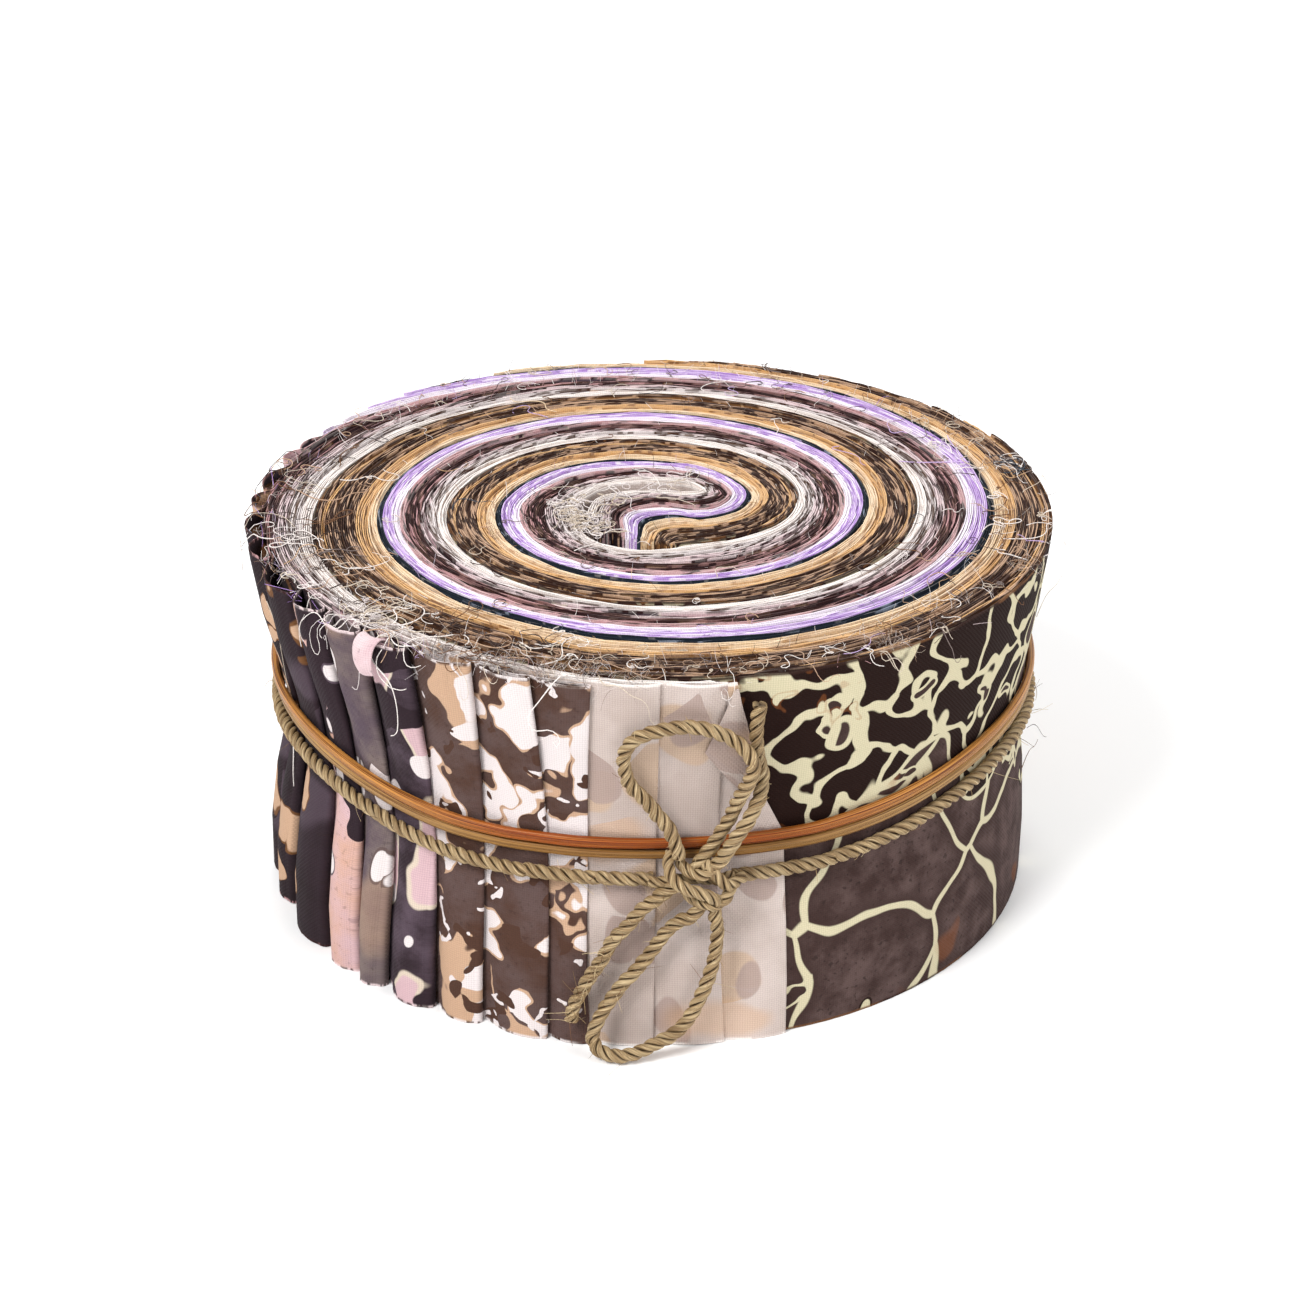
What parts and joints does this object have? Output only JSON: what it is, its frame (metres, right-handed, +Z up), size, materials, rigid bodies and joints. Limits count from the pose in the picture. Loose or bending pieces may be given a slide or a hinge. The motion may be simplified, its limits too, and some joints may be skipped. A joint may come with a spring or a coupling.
{
  "type": "jelly roll of fabric strips with cane and cord ties",
  "caption": "Wound roll of folded printed cotton strips, pulled in at the waist by cane strands and a twisted grass cord tied in a bow.",
  "frame": {"origin": "middle of the roll's flat underside, on the roll's axis", "axes": "+Z is up along the roll's axis, -Y is the side with the bow, +X is to the right of the bow as the roll is looked at"},
  "size_m": [0.1322, 0.1363, 0.0641],
  "materials": {
    "printed_cotton": "matte printed plain weave",
    "cream_cotton": "matte printed plain weave",
    "orange_cane": "glossy split cane",
    "olive_cane": "satin split cane",
    "grass_cord": "matte twisted grass fibre"
  },
  "bodies": {
    "root": {"wound_strips": "printed_cotton", "cream_end": "cream_cotton", "cane_upper": "orange_cane", "cane_lower": "olive_cane", "cord_belt": "grass_cord", "bow_knot": "grass_cord", "bow_upper_loop": "grass_cord", "bow_lower_loop": "grass_cord", "bow_upper_end": "grass_cord", "bow_lower_end": "grass_cord"}
  },
  "joints": []
}
